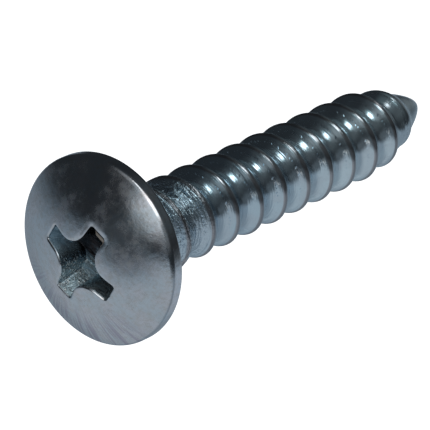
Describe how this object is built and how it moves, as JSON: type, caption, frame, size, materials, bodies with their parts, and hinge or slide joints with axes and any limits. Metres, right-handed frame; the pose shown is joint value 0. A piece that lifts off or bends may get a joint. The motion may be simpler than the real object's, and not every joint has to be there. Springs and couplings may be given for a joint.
{
  "type": "wood screw",
  "caption": "Fully threaded wood screw with a low mushroom head, cross recess, coarse right-hand thread and tapered point.",
  "frame": {"origin": "centre of the head's flat bearing face", "axes": "+Z along the screw's axis and out of the head, so the point is at -Z; +X and +Y along the wings of the cross recess"},
  "size_m": [0.0096, 0.0096, 0.0267],
  "materials": {
    "zinc_plate": "bright bluish zinc plating, glossy, with fine radial streaks on the head and rolling marks on the thread"
  },
  "bodies": {
    "root": {"head": "zinc_plate", "neck": "zinc_plate", "thread": "zinc_plate", "point": "zinc_plate"}
  },
  "joints": []
}
